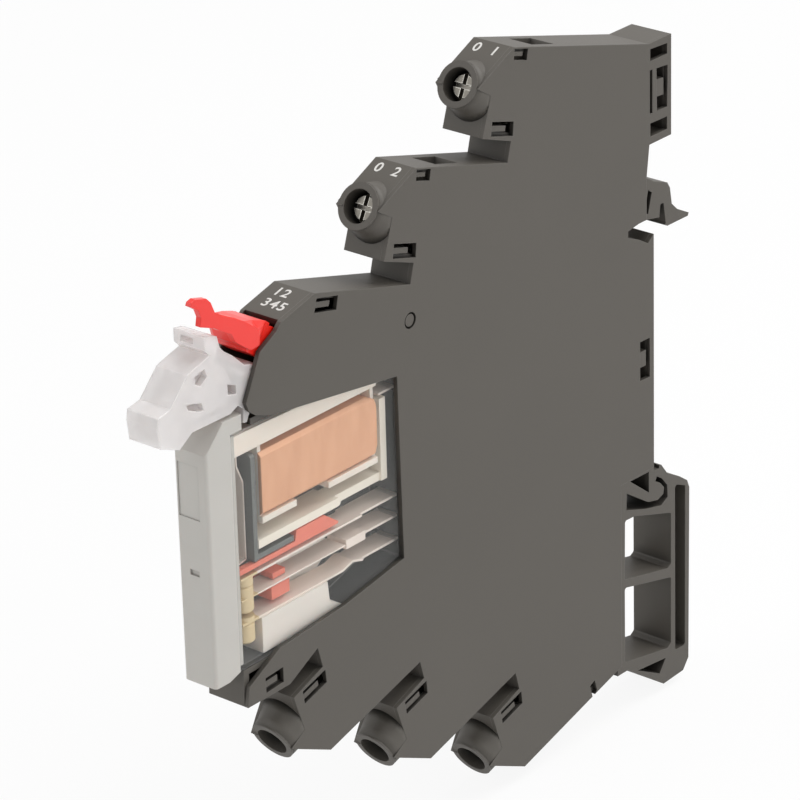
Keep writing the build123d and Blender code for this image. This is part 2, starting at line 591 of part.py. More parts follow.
def hinge_spring():
    """Leaf in front of the armature, bent forward at its top to reach the relay's head."""
    front = ARMATURE_FACE - ARMATURE_SHEET - 0.15
    line = [(front - LEAF / 2, -0.4), (front - LEAF / 2, 9.6), (front - 1.1, 11.9), (front - 1.1, 13.2)]
    hooked = band(line, LEAF) + band([line[0], (HEAD_PLUG + 0.05, -0.9)], LEAF)
    return single(slab(hooked, -0.9, 0.9))


CARD_FAR = -COIL_HALF
SPRING_FAR = -1.1


def card():
    """Driver between the armature's foot and the moving contact: a plate behind the springs, its fingers and an arm."""
    wedge = [(-73.1, -1.45), (-73.2, -0.78), (-69.2, -0.78), (-68.9, 0.55), (-63.8, 0.55), (-61.3, -1.2),
             (-61.5, -1.45)]
    leg = [(-69.2, -1.3), (-69.6, -6.6), (-72.9, -6.9), (-72.6, -5.4), (-71.9, -2.0), (-72.6, -1.3)]
    shape = slab(face(wedge), CARD_FAR, 1.9) + slab(face(leg), CARD_FAR, SPRING_FAR - 0.15)
    shape += block((-72.6, -70.4), (-4.62, -3.9), CARD_FAR, 1.2)
    shape += block((-72.9, -69.7), (-7.3, -5.6), CARD_FAR, 1.2)
    shape += block((HEAD_PLUG + 0.3, -73.0), (-1.45, -0.78), 1.05, 1.9)
    return single(shape)


SPRING_Z = CONTACT_HEIGHTS["common"]
SPRING_ROOT = -60.2


def moving_contact():
    """Contact leaf with a double-ended rivet; it turns about its root."""
    leaf = slab(band([(SPRING_ROOT, SPRING_Z), (CONTACT_Y - 1.5, SPRING_Z)], LEAF), SPRING_FAR, 1.9)
    top = CONTACT_HEIGHTS["closed"] - 0.15 - 1.0 - 0.05
    bottom = SPRING_Z - 2.0
    rivet = Pos(CONTACT_X, CONTACT_Y, (top + bottom) / 2) * Cylinder(CONTACT_RADIUS, top - bottom)
    return single(leaf + chamfer(rivet.edges(), 0.3))


def blade(start, height):
    """Flat blade from a place inside the case, through its rear wall, to its rounded tip."""
    tip = RELAY_REAR + BLADE_REACH
    shape = block((start, tip), (height - BLADE_THICKNESS / 2, height + BLADE_THICKNESS / 2),
                  -BLADE_WIDTH / 2, BLADE_WIDTH / 2)
    return fillet(shape.edges().filter_by(Axis.Z).group_by(Axis.Y)[-1], 0.8)


def common_blade():
    height = CONTACT_HEIGHTS["common"]
    anchor = block((SPRING_ROOT + 0.15, -56.5), (height - 0.6, height + 0.6), SPRING_FAR, 1.9)
    return single(blade(-57.0, height) + anchor)


def closed_contact():
    height = CONTACT_HEIGHTS["closed"]
    strip = block((CONTACT_Y - 1.5, -57.0), (height - 0.15, height + 0.15), SPRING_FAR, 1.9)
    rivet = Pos(CONTACT_X, CONTACT_Y, height - 0.15 - 0.5) * Cylinder(CONTACT_RADIUS, 1.0)
    return single(blade(-58.0, height) + strip + rivet)


OPEN_TOP = SPRING_Z - 2.0 - CONTACT_GAP


def open_contact():
    height = CONTACT_HEIGHTS["open"]
    wave = [(-64.2, height - 0.0), (-60.8, height - 0.0), (-58.9, height + 0.55), (-57.0, height)]
    strip = slab(band([(CONTACT_Y - 1.5, height), (-64.2, height)], BLADE_THICKNESS)
                 + band(wave, BLADE_THICKNESS), SPRING_FAR, 1.9)
    rivet = Pos(CONTACT_X, CONTACT_Y, (OPEN_TOP + height) / 2) * Cylinder(CONTACT_RADIUS, OPEN_TOP - height)
    tail = Pos(CONTACT_X, CONTACT_Y, height - 1.5) * Cylinder(CONTACT_RADIUS, 2.7)
    return single(blade(-57.2, height) + strip + rivet + chamfer(tail.edges(), 0.3))


BLOCK_TOP_Z = CONTACT_HEIGHTS["open"] - BLADE_THICKNESS / 2
BLOCK_PLAY = 0.45


def contact_block():
    """Moulded block that carries the fixed contact, standing on the floor of the case."""
    floor = CASE_BOTTOM + CASE_WALL
    front = CONTACT_Y + CONTACT_RADIUS + BLOCK_PLAY
    outline = [(front, floor + 0.02), (front, BLOCK_TOP_Z), (-63.9, BLOCK_TOP_Z),
               (-63.6, BLOCK_TOP_Z - 2.6), (-61.0, floor + 0.4), (-61.0, floor + 0.02)]
    return single(slab(face(outline), -COIL_HALF, COIL_HALF))


def retaining_lever():
    """Clear lever over the relay's head; its heel pushes the relay forward when it is lifted."""
    outline = [(-91.8, 19.8), (-88.6, 18.5), (-86.4, 19.9), (-79.9, 19.8), (-78.6, 20.4), (-77.6, 19.6),
               (-77.8, 17.9), (HEEL_BACK, 17.8), (-75.9, 20.4), (-75.1, 24.4), (-77.2, 25.0), (-79.2, 26.9),
               (-80.6, 27.9), (-81.2, 28.6), (-81.6, 30.1), (-82.5, 30.5), (-83.7, 30.7), (-83.7, 29.0),
               (-82.9, 28.2), (-85.9, 27.4), (-86.8, 27.1), (-89.8, 24.0), (-91.9, 23.6), (-92.1, 22.4)]
    shape = slab(face(outline), -LEVER_HALF, LEVER_HALF)
    hub = post(LEVER_PIVOT, HUB_RADIUS, -LEVER_HALF, LEVER_HALF)
    arm = slab(band([LEVER_PIVOT, (-77.5, 22.2)], 2.4), -LEVER_HALF, LEVER_HALF)
    shape = shape + hub + arm
    for window in ([(-85.6, 26.4), (-83.9, 26.9), (-83.5, 25.8), (-84.6, 25.0), (-85.5, 25.5)],
                   [(-87.2, 23.6), (-84.6, 22.9), (-84.3, 21.9), (-85.1, 22.0), (-86.9, 22.8)]):
        shape -= slab(face(window), -LEVER_HALF, LEVER_HALF)
    hollow = [(-91.2, 22.9), (-91.2, 20.4), (-88.6, 19.6), (-88.3, 22.9), (-89.5, 23.3)]
    shape -= slab(face(hollow), -LEVER_HALF + 0.8, LEVER_HALF - 0.8)
    return single(shape - post(LEVER_PIVOT, PIN_RADIUS + THREAD_PLAY, -LEVER_HALF, LEVER_HALF))


def release_lever():
    """Red lever with a thin thumb beak; its round heel turns under the end of the tier's roof."""
    py, pz = LATCH_PIVOT
    heel = [(py + LATCH_HEEL * cos(radians(a)), pz + LATCH_HEEL * sin(radians(a))) for a in (25, 45, 65, 85)]
    beak = [(-86.0, 35.0), (-85.5, 35.9), (-82.7, 35.1), (-82.2, 34.4), (-81.8, 33.2), (-79.0, 31.8),
            (-78.4, 28.3), (-79.3, 29.5), (-81.6, 31.1), (-84.3, 32.2), (-84.0, 33.1), (-84.3, 34.0)]
    body = [(-81.2, 30.9), (-80.6, 32.2), (-78.6, 32.2), (-76.9, 31.4), (-75.4, 30.1)] + heel[::-1]
    body += [(py + 1.0, pz - 0.9), (py - 0.9, pz - 0.9), (-74.9, 26.1), (-76.3, 26.6), (-78.4, 28.1),
             (-79.3, 29.5)]
    shape = slab(face(beak), BEAK_FAR, LEVER_HALF) + slab(face(body), -LEVER_HALF, LEVER_HALF)
    shape += post(LATCH_PIVOT, HUB_RADIUS, -LEVER_HALF, LEVER_HALF)
    return single(shape - post(LATCH_PIVOT, PIN_RADIUS + THREAD_PLAY, -LEVER_HALF, LEVER_HALF))


def pivot_pin(centre):
    return post(centre, PIN_RADIUS, INNER_FAR, INNER_NEAR)


def parts():
    shapes = {
        "housing": housing(), "side_cover": side_cover(), "circuit_board": circuit_board(),
        "bridge_rectifier": bridge_rectifier(), "smoothing_capacitor": smoothing_capacitor(),
        "resistor_1": resistor(20.5), "resistor_2": resistor(16.5), "varistor": varistor(),
        "indicator_led": indicator_led(),
        "lever_pin": pivot_pin(LEVER_PIVOT), "release_pin": pivot_pin(LATCH_PIVOT),
        "retaining_lever": retaining_lever(), "release_lever": release_lever(),
        "relay_front": relay_front(), "relay_case": relay_case(), "bobbin": bobbin(),
        "coil_winding": coil_winding(), "core": core(), "yoke": yoke(), "armature": armature(),
        "hinge_spring": hinge_spring(), "card": card(), "moving_contact": moving_contact(),
        "common_blade": common_blade(), "closed_contact": closed_contact(), "open_contact": open_contact(),
        "contact_block": contact_block(),
        "coil_pin_1": blade(RAIL_END - 1.5, COIL_HEIGHTS[0]),
        "coil_pin_2": blade(YOKE_REAR_FACE, COIL_HEIGHTS[1]),
        "coil_clip_1": coil_clip(COIL_HEIGHTS[0]), "coil_clip_2": coil_clip(COIL_HEIGHTS[1]),
    }
    for number in TERMINALS:
        shapes[f"terminal_screw_{number}"] = terminal_screw(number)
        shapes[f"clamp_cage_{number}"] = clamp_cage(number)
        shapes[f"terminal_strip_{number}"] = terminal_strip(number)
    return shapes


os.makedirs("parts", exist_ok=True)
for name, shape in parts().items():
    export_step(shape, f"parts/{name}.step")
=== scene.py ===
# %% [markdown]
# A slim relay module for a control cabinet. Its socket is a flat tray of dark plastic with a cover snapped
# on, and the relay sits in a clear case under a clear lever. The solids come ready made, each in its true
# place, so this lesson gives them light, a camera and their finishes. It also adds the forms that the solids
# lack: softer levers, flares round the screws, a pale wall in the relay and the printed numbers.

# %% Load the solids
import math

import bmesh
import bpy
from mathutils import Matrix, Vector


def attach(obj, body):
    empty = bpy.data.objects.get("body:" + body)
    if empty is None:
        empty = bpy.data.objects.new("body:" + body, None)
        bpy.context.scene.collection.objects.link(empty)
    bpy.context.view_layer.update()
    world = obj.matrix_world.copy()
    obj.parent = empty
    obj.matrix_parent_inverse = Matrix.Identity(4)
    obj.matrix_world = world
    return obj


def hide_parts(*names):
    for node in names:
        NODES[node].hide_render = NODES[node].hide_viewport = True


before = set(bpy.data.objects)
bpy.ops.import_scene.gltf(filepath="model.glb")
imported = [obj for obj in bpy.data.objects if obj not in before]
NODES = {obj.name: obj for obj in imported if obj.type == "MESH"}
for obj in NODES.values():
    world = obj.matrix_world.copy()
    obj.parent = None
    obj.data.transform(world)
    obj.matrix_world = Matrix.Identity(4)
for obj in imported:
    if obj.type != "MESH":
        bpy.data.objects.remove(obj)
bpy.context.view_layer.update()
MM = 0.001
print(len(NODES), "solids loaded")

# %% [markdown]
# The photograph was taken from in front, on the side of the cover and a little above, with a long lens, so
# the flat side stays almost free of perspective. A camera could be given as a matrix, but an azimuth, an
# elevation and a roll are easier to read and to change, so a small function turns those three angles into
# the camera's axes.

# %% Camera
CAMERA_AZIMUTH = 40.321
CAMERA_ELEVATION = 24.419
CAMERA_ROLL = -1.567
CAMERA_PLACE = Vector((311.12, -413.72, 227.26)) * MM
CAMERA_LENS = 196.66
CAMERA_SENSOR = 36.0
NEAREST_SEEN = 0.01


def placed(name, data):
    """An object that holds some data, linked to the scene."""
    made = bpy.data.objects.new(name, data)
    bpy.context.scene.collection.objects.link(made)
    return made


def towards(azimuth, elevation):
    """The way from the module to something that stands at an azimuth and an elevation, in degrees."""
    a, e = math.radians(azimuth), math.radians(elevation)
    return Vector((math.sin(a) * math.cos(e), -math.cos(a) * math.cos(e), math.sin(e)))


def camera_axes(azimuth, elevation, roll):
    """The ways that a camera calls right, up and back."""
    back = towards(azimuth, elevation)
    level = Vector((math.cos(math.radians(azimuth)), math.sin(math.radians(azimuth)), 0))
    rise = back.cross(level)
    lean = math.radians(roll)
    right = level * math.cos(lean) + rise * math.sin(lean)
    return right, back.cross(right), back


camera_data = bpy.data.cameras.new("camera")
camera_data.lens = CAMERA_LENS
camera_data.sensor_width = CAMERA_SENSOR
camera_data.clip_start = NEAREST_SEEN
camera = placed("camera", camera_data)
camera.matrix_world = Matrix(camera_axes(CAMERA_AZIMUTH, CAMERA_ELEVATION, CAMERA_ROLL)).transposed().to_4x4()
camera.location = CAMERA_PLACE
bpy.context.scene.camera = camera
print("camera at", [round(v, 3) for v in camera.location])

# %% [markdown]
# Every finish here is made of nodes. Written out one by one they are hard to read, so a small class wraps a
# socket and lets plus, minus, times, power and less-than make the Math nodes.


# %% A socket that can be used in sums
class Socket:
    def __init__(self, finish, output):
        self.finish = finish
        self.output = output

    def maths(self, operation, first, second=None):
        values = [first] if second is None else [first, second]
        return self.finish.node("ShaderNodeMath", {"operation": operation}, dict(enumerate(values)))

    def __add__(self, other):
        return self.maths("ADD", self, other)

    def __radd__(self, other):
        return self.maths("ADD", other, self)

    def __sub__(self, other):
        return self.maths("SUBTRACT", self, other)

    def __rsub__(self, other):
        return self.maths("SUBTRACT", other, self)

    def __mul__(self, other):
        return self.maths("MULTIPLY", self, other)

    def __rmul__(self, other):
        return self.maths("MULTIPLY", other, self)

    def __pow__(self, other):
        return self.maths("POWER", self, other)

    def __lt__(self, other):
        return self.maths("LESS_THAN", self, other)

    def clip(self):
        return self.finish.node("ShaderNodeClamp", {}, {"Value": self})

    def sine(self):
        return self.maths("SINE", self)


print("sockets can be added, multiplied and compared")

# %% [markdown]
# Colours are written as they look on a screen, from 0 to 255, because that is how they are read off a
# photograph. A shader works in light, not in screen numbers, so they are turned into linear ones first.

# %% Colours
SCREEN_WHITE = 255
SCREEN_GAMMA = 2.2
WHITE = (1, 1, 1)


def from_screen(red, green, blue):
    """A colour as seen on a screen, in the linear numbers that a shader takes."""
    return tuple((value / SCREEN_WHITE) ** SCREEN_GAMMA for value in (red, green, blue))


def tinted(colour, factor):
    """A colour made darker or paler by a factor, but never brighter than white."""
    return tuple(min(1.0, factor * part) for part in colour)


def rgba(colour):
    """A colour as a node takes it, whether it is three numbers or already a socket."""
    return colour if isinstance(colour, Socket) else (*colour, 1.0)


print("mid grey on a screen is", round(from_screen(128, 128, 128)[0], 3), "as light")

# %% [markdown]
# A finish is the node tree of one material, or of the world. One method makes any node from its type, its
# settings and what goes into its sockets. The others are looks that many finishes share: a noise, a rounded
# edge, a mask of the sharp edges, one of the deep corners that paints shade, and fine grain as a bump.

# %% A finish, which is a tree of nodes
RAY_SAMPLES = 6
EDGE_GAIN = 4.0
CORNER_BLACK = 0.25
CORNER_GAIN = 1.45
MIX_FIRST, MIX_SECOND, MIX_RESULT = 6, 7, 2


class Finish:
    def __init__(self, owner, output="ShaderNodeOutputMaterial"):
        owner.use_nodes = True
        self.owner = owner
        self.tree = owner.node_tree
        self.tree.nodes.clear()
        self.surface = self.tree.nodes.new(output).inputs["Surface"]

    def node(self, kind, settings, sockets, output=0):
        made = self.tree.nodes.new(kind)
        for name, value in settings.items():
            setattr(made, name, value)
        for name, value in sockets.items():
            if isinstance(value, Socket):
                self.tree.links.new(value.output, made.inputs[name])
            else:
                made.inputs[name].default_value = value
        return Socket(self, made.outputs[output])

    def place(self):
        return self.node("ShaderNodeTexCoord", {}, {}, "Object")

    def noise(self, scale, detail=2.0, stretch=(1, 1, 1)):
        where = self.node("ShaderNodeMapping", {}, {"Vector": self.place(), "Scale": stretch})
        return self.node("ShaderNodeTexNoise", {}, {"Vector": where, "Scale": scale, "Detail": detail})

    def axis(self, letter):
        return self.node("ShaderNodeSeparateXYZ", {}, {"Vector": self.place()}, letter)

    def mix(self, factor, first, second):
        sockets = {"Factor": factor, MIX_FIRST: rgba(first), MIX_SECOND: rgba(second)}
        return self.node("ShaderNodeMix", {"data_type": "RGBA"}, sockets, MIX_RESULT)

    def mix_shaders(self, factor, first, second):
        return self.node("ShaderNodeMixShader", {}, {0: factor, 1: first, 2: second})

    def rounded(self, radius):
        return self.node("ShaderNodeBevel", {"samples": RAY_SAMPLES}, {"Radius": radius})

    def edges(self, radius):
        """1 along sharp edges and 0 on flats, from how far a rounded normal leans."""
        flat = self.node("ShaderNodeNewGeometry", {}, {}, "Normal")
        lean = self.node("ShaderNodeVectorMath", {"operation": "DOT_PRODUCT"},
                         {0: self.rounded(radius), 1: flat}, "Value")
        return ((1 - lean) * EDGE_GAIN).clip()

    def painted_shade_mask(self, reach, alone=False):
        """1 on open faces, 0 in deep corners, by how much sky a point sees alone or among others: for painted
        shade.
        """
        settings = {"samples": RAY_SAMPLES, "only_local": alone}
        sky = self.node("ShaderNodeAmbientOcclusion", settings, {"Distance": reach}, "AO")
        return ((sky - CORNER_BLACK) * CORNER_GAIN).clip()

    def bump(self, height, depth, normal):
        """A normal that follows a height, on top of another normal."""
        sockets = {"Height": height, "Distance": depth, "Strength": 1.0, "Normal": normal}
        return self.node("ShaderNodeBump", {}, sockets)

    def principled(self, **sockets):
        """The Principled shader, with its sockets named in words joined by underscores."""
        named = {name.replace("_", " "): value for name, value in sockets.items()}
        return self.node("ShaderNodeBsdfPrincipled", {}, named)

    def show(self, shader):
        self.tree.links.new(shader.output, self.surface)
        return self.owner


def new_finish(name):
    return Finish(bpy.data.materials.new(name))


def tell(material):
    print(material.name, "has", len(material.node_tree.nodes), "nodes")


print("finishes can be made")

# %% [markdown]
# The socket is glass-filled nylon with a spark-eroded texture, matt and warm dark grey. Its colour carries a
# painted highlight, a touch paler along its edges, and painted shade that turns it nearly black down in its
# slots and windows. A photograph of the plastic could be wrapped round it, but noises and masks stay sharp at
# any distance and need no unwrapping.

# %% Socket plastic
SOCKET_GREY = from_screen(84, 80, 74)
SOCKET_EDGE_HIGHLIGHT = from_screen(140, 136, 130)
CORNER_SHADE_REACH = 2.2 * MM
EDGE_REACH = 0.14 * MM
EDGE_RADIUS = 0.12 * MM
GRAIN_DEPTH = 0.008 * MM


def socket_plastic():
    finish = new_finish("socket plastic")
    cloud = finish.noise(scale=55.0, detail=3.0)
    grain = finish.noise(scale=5200.0)
    tone = finish.mix(cloud, tinted(SOCKET_GREY, 0.95), tinted(SOCKET_GREY, 1.05))
    # painted highlight: the colour turns paler along the sharp edges, as if light caught them
    lit = finish.mix(finish.edges(EDGE_REACH) * 0.3, tone, SOCKET_EDGE_HIGHLIGHT)
    # painted shade: the colour falls to nearly black in slots, windows and deep corners
    colour = finish.mix(finish.painted_shade_mask(CORNER_SHADE_REACH), tinted(SOCKET_GREY, 0.12), lit)
    normal = finish.bump(grain, GRAIN_DEPTH, finish.rounded(EDGE_RADIUS))
    return finish.show(finish.principled(Base_Color=colour, Roughness=0.5 + 0.1 * grain, Normal=normal,
                                         Specular_IOR_Level=0.5))


SOCKET_PLASTIC = socket_plastic()
tell(SOCKET_PLASTIC)

# %% [markdown]
# The smaller mouldings, such as the relay's head and the red lever, have a smoother skin than the socket, and
# light goes a little way into them. They differ in colour, gloss and depth, so one function makes them all.
# Painted shade darkens their corners, and only a piece's own form casts it, because the clear case round some
# would count as a wall.

# %% Moulded plastics
SKIN_DEPTH = 0.006 * MM
SKIN_RADIUS = 0.15 * MM
FOLD_SHADE_REACH = 0.8 * MM
LIGHT_REACH = 1.0 * MM


def moulded(name, colour, roughness, subsurface=0.0, coat=0.0):
    finish = new_finish(name)
    cloud = finish.noise(scale=120.0, detail=3.0)
    tone = finish.mix(cloud, tinted(colour, 0.96), tinted(colour, 1.04))
    # painted shade: the colour darkens in the piece's own corners and folds
    tone = finish.mix(finish.painted_shade_mask(FOLD_SHADE_REACH, alone=True), tinted(colour, 0.6), tone)
    normal = finish.bump(finish.noise(scale=3800.0), SKIN_DEPTH, finish.rounded(SKIN_RADIUS))
    return finish.show(finish.principled(Base_Color=tone, Roughness=roughness + 0.08 * cloud, Normal=normal,
                                         Subsurface_Weight=subsurface, Subsurface_Radius=(1, 0.6, 0.5),
                                         Subsurface_Scale=LIGHT_REACH, Coat_Weight=coat,
                                         Coat_Roughness=0.2))


RED_PLASTIC = moulded("red plastic", from_screen(246, 42, 30), roughness=0.32, subsurface=0.2, coat=0.3)
BLOCK_PLASTIC = moulded("white plastic", from_screen(232, 224, 216), roughness=0.35, subsurface=0.2)
tell(RED_PLASTIC)
tell(BLOCK_PLASTIC)

# %% [markdown]
# A clear case is mostly a window. Real refraction through thin walls costs many rays and bends little, so a
# transparent shader and a glossy one are mixed instead, by how far the surface turns away: where the case is
# seen at a slant it turns into a mirror.

# %% Clear case
CASE_RADIUS = 0.2 * MM


def clear_case():
    finish = new_finish("clear case")
    slant = finish.node("ShaderNodeLayerWeight", {}, {"Blend": 0.35}, "Facing")
    smear = finish.noise(scale=90.0)
    gloss = finish.principled(Base_Color=rgba((0.93, 0.94, 0.93)), Roughness=0.06 + 0.05 * smear,
                              Specular_IOR_Level=0.6, Normal=finish.rounded(CASE_RADIUS))
    window = finish.node("ShaderNodeBsdfTransparent", {}, {"Color": rgba((0.99, 0.99, 0.985))})
    factor = (0.03 + 0.5 * slant ** 3.0 + 0.35 * finish.edges(CASE_RADIUS)).clip()
    return finish.show(finish.mix_shaders(factor, window, gloss))


CLEAR_CASE = clear_case()
tell(CLEAR_CASE)

# %% [markdown]
# The lever over the relay is clear plastic gone milky. About a third of the light goes straight through and
# the rest scatters inside, so the same mix is made with a body that light sinks into, and a haze that varies.

# %% Milky lever
LEVER_RADIUS = 0.25 * MM
LEVER_EDGE_REACH = 0.3 * MM
MILK_REACH = 1.5 * MM


def milky_lever():
    finish = new_finish("milky lever")
    haze = finish.noise(scale=260.0, detail=3.0)
    body = finish.principled(Base_Color=rgba(from_screen(250, 244, 242)), Roughness=0.18 + 0.12 * haze,
                             Subsurface_Weight=0.5, Subsurface_Radius=(1, 0.95, 0.9),
                             Subsurface_Scale=MILK_REACH, Normal=finish.rounded(LEVER_RADIUS),
                             Coat_Weight=0.4, Coat_Roughness=0.08)
    window = finish.node("ShaderNodeBsdfTransparent", {}, {"Color": rgba((0.96, 0.95, 0.95))})
    factor = (0.56 + 0.16 * haze + 0.3 * finish.edges(LEVER_EDGE_REACH)).clip()
    return finish.show(finish.mix_shaders(factor, window, body))


MILKY_LEVER = milky_lever()
tell(MILKY_LEVER)

# %% [markdown]
# The coil is wound from hair-thin enamelled wire. Each turn could be a ring of its own, but hundreds of them
# would be heavy and would still look like fine ridges, so a sine along the coil draws them as a bump. The
# enamel gives copper a warm, slightly pink gloss.

# %% Wound copper
WIRE_PITCH = 0.12 * MM
TURN_DEPTH = 0.006 * MM
COIL_RADIUS = 0.2 * MM
COPPER_DARK = from_screen(214, 152, 112)
COPPER_PALE = from_screen(242, 184, 144)


def wound_copper():
    finish = new_finish("wound copper")
    turns = (finish.axis("Y") * (2 * math.pi / WIRE_PITCH)).sine() * 0.5 + 0.5
    wander = finish.noise(scale=160.0, stretch=(1, 3, 1))
    colour = finish.mix((wander * 0.75 + turns * 0.2).clip(), COPPER_DARK, COPPER_PALE)
    normal = finish.bump(turns, TURN_DEPTH, finish.rounded(COIL_RADIUS))
    return finish.show(finish.principled(Base_Color=colour, Metallic=0.2, Roughness=0.36 + 0.08 * wander,
                                         Normal=normal, Coat_Weight=0.3, Coat_Roughness=0.25))


WOUND_COPPER = wound_copper()
tell(WOUND_COPPER)

# %% [markdown]
# Metals differ in colour, in how much they scatter light, and in which way they were brushed, so one function
# makes them all from a noise that can be squeezed along one axis. The contact springs are silvery, and turn
# to cream-coloured brass at their tips, where the rivets are. The screws get a painted highlight on their
# rims.

# %% Metals
RIVETS_BEGIN = -76.0 * MM
RIVET_BRASS = from_screen(222, 200, 158)
SILVERED = from_screen(244, 230, 220)
RIM_REACH = 0.25 * MM
SCRATCH_DEPTH = 0.004 * MM
METAL_RADIUS = 0.08 * MM


def metal(name, colour, roughness, scratch=(1, 1, 1), metallic=1.0, rivets=False, painted_rim_highlight=None):
    finish = new_finish(name)
    brushed = finish.noise(scale=900.0, detail=3.0, stretch=scratch)
    patch = finish.noise(scale=150.0, detail=3.0)
    tone = finish.mix(patch, tinted(colour, 0.88), tinted(colour, 1.08))
    if rivets:
        tone = finish.mix(finish.axis("Y") < RIVETS_BEGIN, tone, RIVET_BRASS)
    # painted highlight: the colour turns paler along the sharp edges of the screws' rims
    if painted_rim_highlight:
        tone = finish.mix(finish.edges(RIM_REACH), tone, painted_rim_highlight)
    normal = finish.bump(brushed, SCRATCH_DEPTH, finish.rounded(METAL_RADIUS))
    return finish.show(finish.principled(Base_Color=tone, Metallic=metallic,
                                         Roughness=roughness + 0.15 * brushed, Normal=normal))


ZINC_SCREW = metal("zinc screw", from_screen(104, 101, 95), roughness=0.24, painted_rim_highlight=from_screen(214, 211, 203))
CONTACT_SPRING = metal("contact spring", SILVERED, roughness=0.32, scratch=(1, 12, 1), metallic=0.15,
                       rivets=True)
tell(ZINC_SCREW)
tell(CONTACT_SPRING)

# %% [markdown]
# Now each solid gets its finish. Solids of one finish share one material, so a single list says it all.

# %% Dress the solids
TERMINALS = range(1, 6)
DRESS = [
    (SOCKET_PLASTIC, ["housing", "side_cover"]),
    (moulded("relay head plastic", from_screen(196, 193, 187), roughness=0.45, subsurface=0.1),
     ["relay_front"]),
    (CLEAR_CASE, ["relay_case"]),
    (MILKY_LEVER, ["retaining_lever"]),
    (RED_PLASTIC, ["release_lever"]),
    (moulded("card plastic", from_screen(240, 128, 106), roughness=0.4, subsurface=0.2), ["card"]),
    (moulded("bone plastic", from_screen(244, 232, 220), roughness=0.4, subsurface=0.2), ["bobbin"]),
    (BLOCK_PLASTIC, ["contact_block"]),
    (WOUND_COPPER, ["coil_winding"]),
    (metal("dark iron", from_screen(112, 114, 112), roughness=0.42, scratch=(1, 1, 8), metallic=0.4),
     ["core", "armature"]),
    (metal("pale iron", from_screen(252, 240, 226), roughness=0.38, scratch=(1, 8, 1), metallic=0.05),
     ["yoke"]),
    (CONTACT_SPRING, ["moving_contact", "closed_contact", "open_contact"]),
    (metal("silvered blade", SILVERED, roughness=0.32, scratch=(1, 12, 1), metallic=0.15),
     ["hinge_spring", "common_blade", "coil_pin_1", "coil_pin_2"]),
    (metal("pin steel", from_screen(190, 190, 188), roughness=0.25), ["lever_pin", "release_pin"]),
    (ZINC_SCREW, [f"terminal_screw_{n}" for n in TERMINALS]),
    (metal("zinc clamp", from_screen(188, 188, 184), roughness=0.3),
     [f"clamp_cage_{n}" for n in TERMINALS]),
    (metal("tinned strip", from_screen(196, 192, 182), roughness=0.3),
     [f"terminal_strip_{n}" for n in TERMINALS] + ["coil_clip_1", "coil_clip_2"]),
    (moulded("solder mask", from_screen(40, 110, 70), roughness=0.35, coat=0.4), ["circuit_board"]),
    (moulded("black component", from_screen(38, 38, 40), roughness=0.45),
     ["bridge_rectifier", "smoothing_capacitor"]),
    (moulded("glazed component", from_screen(70, 130, 180), roughness=0.25, coat=0.5),
     ["resistor_1", "resistor_2", "varistor"]),
    (moulded("lamp", from_screen(240, 220, 130), roughness=0.12, subsurface=0.4, coat=0.5),
     ["indicator_led"]),
]
for material, names in DRESS:
    for name in names:
        NODES[name].data.materials.clear()
        NODES[name].data.materials.append(material)
print(sum(len(names) for _, names in DRESS), "solids dressed")

# %% [markdown]
# Some forms of the real module are softer or thinner than the plain solids. They could be sculpted by hand,
# but outlines seen from the side are easy to measure and to change. Each outline is given a thickness,
# Boolean modifiers join or cut the pieces, and a Bevel modifier rounds the edges where that shows.

# %% Prisms from side outlines
NEARLY_MEETING = 0.06
BEVEL_SLIVER = 0.004
BEVEL_SEGMENTS = 2
BEVEL_ANGLE = math.radians(35)


def solid(name, mesh):
    """An object of a bmesh, with its faces turned outwards."""
    bmesh.ops.recalc_face_normals(mesh, faces=mesh.faces)
    data = bpy.data.meshes.new(name)
    mesh.to_mesh(data)
    mesh.free()
    return placed(name, data)


def prism(name, sections):
    """A closed solid through (X, outline) sections, in millimetres. All outlines have as many corners."""
    mesh = bmesh.new()
    rings = [[mesh.verts.new(Vector((x, y, z)) * MM) for y, z in outline] for x, outline in sections]
    mesh.faces.new(rings[0][::-1])
    mesh.faces.new(rings[-1])
    for far, near in zip(rings, rings[1:]):
        for i in range(len(far)):
            j = (i + 1) % len(far)
            mesh.faces.new((near[j], near[i], far[i], far[j]))
    return solid(name, mesh)


def slab(name, outline, low, high):
    """A flat piece of one outline between two places along X."""
    return prism(name, [(low, outline), (high, outline)])


def as_shown(piece):
    """The mesh that Blender shows for an object, with its modifiers applied or its text filled in."""
    bpy.context.view_layer.update()
    return bpy.data.meshes.new_from_object(piece.evaluated_get(bpy.context.evaluated_depsgraph_get()))


def joined(piece, other, operation):
    """The piece after a Boolean with another one, which is then thrown away."""
    boolean = piece.modifiers.new("boolean", "BOOLEAN")
    boolean.operation = operation
    boolean.solver = "EXACT"
    boolean.object = other
    mesh = as_shown(piece)
    piece.modifiers.clear()
    piece.data = mesh
    bpy.data.objects.remove(other)
    return piece


def welded(mesh, distance):
    """The mesh with corners closer than a distance merged and what then has no area taken out."""
    work = bmesh.new()
    work.from_mesh(mesh)
    bmesh.ops.remove_doubles(work, verts=work.verts, dist=distance * MM)
    bmesh.ops.dissolve_degenerate(work, edges=work.edges, dist=distance * MM)
    work.to_mesh(mesh)
    work.free()
    return mesh


def softened(piece, width):
    """The piece with its sharp edges rounded. A Bevel needs clean corners, so they are welded first."""
    welded(piece.data, NEARLY_MEETING)
    bevel = piece.modifiers.new("soft edges", "BEVEL")
    bevel.width = width * MM
    bevel.segments = BEVEL_SEGMENTS
    bevel.limit_method = "ANGLE"
    bevel.angle_limit = BEVEL_ANGLE
    bevel.use_clamp_overlap = True
    mesh = as_shown(piece)
    piece.modifiers.clear()
    piece.data = welded(mesh, BEVEL_SLIVER)
    return piece


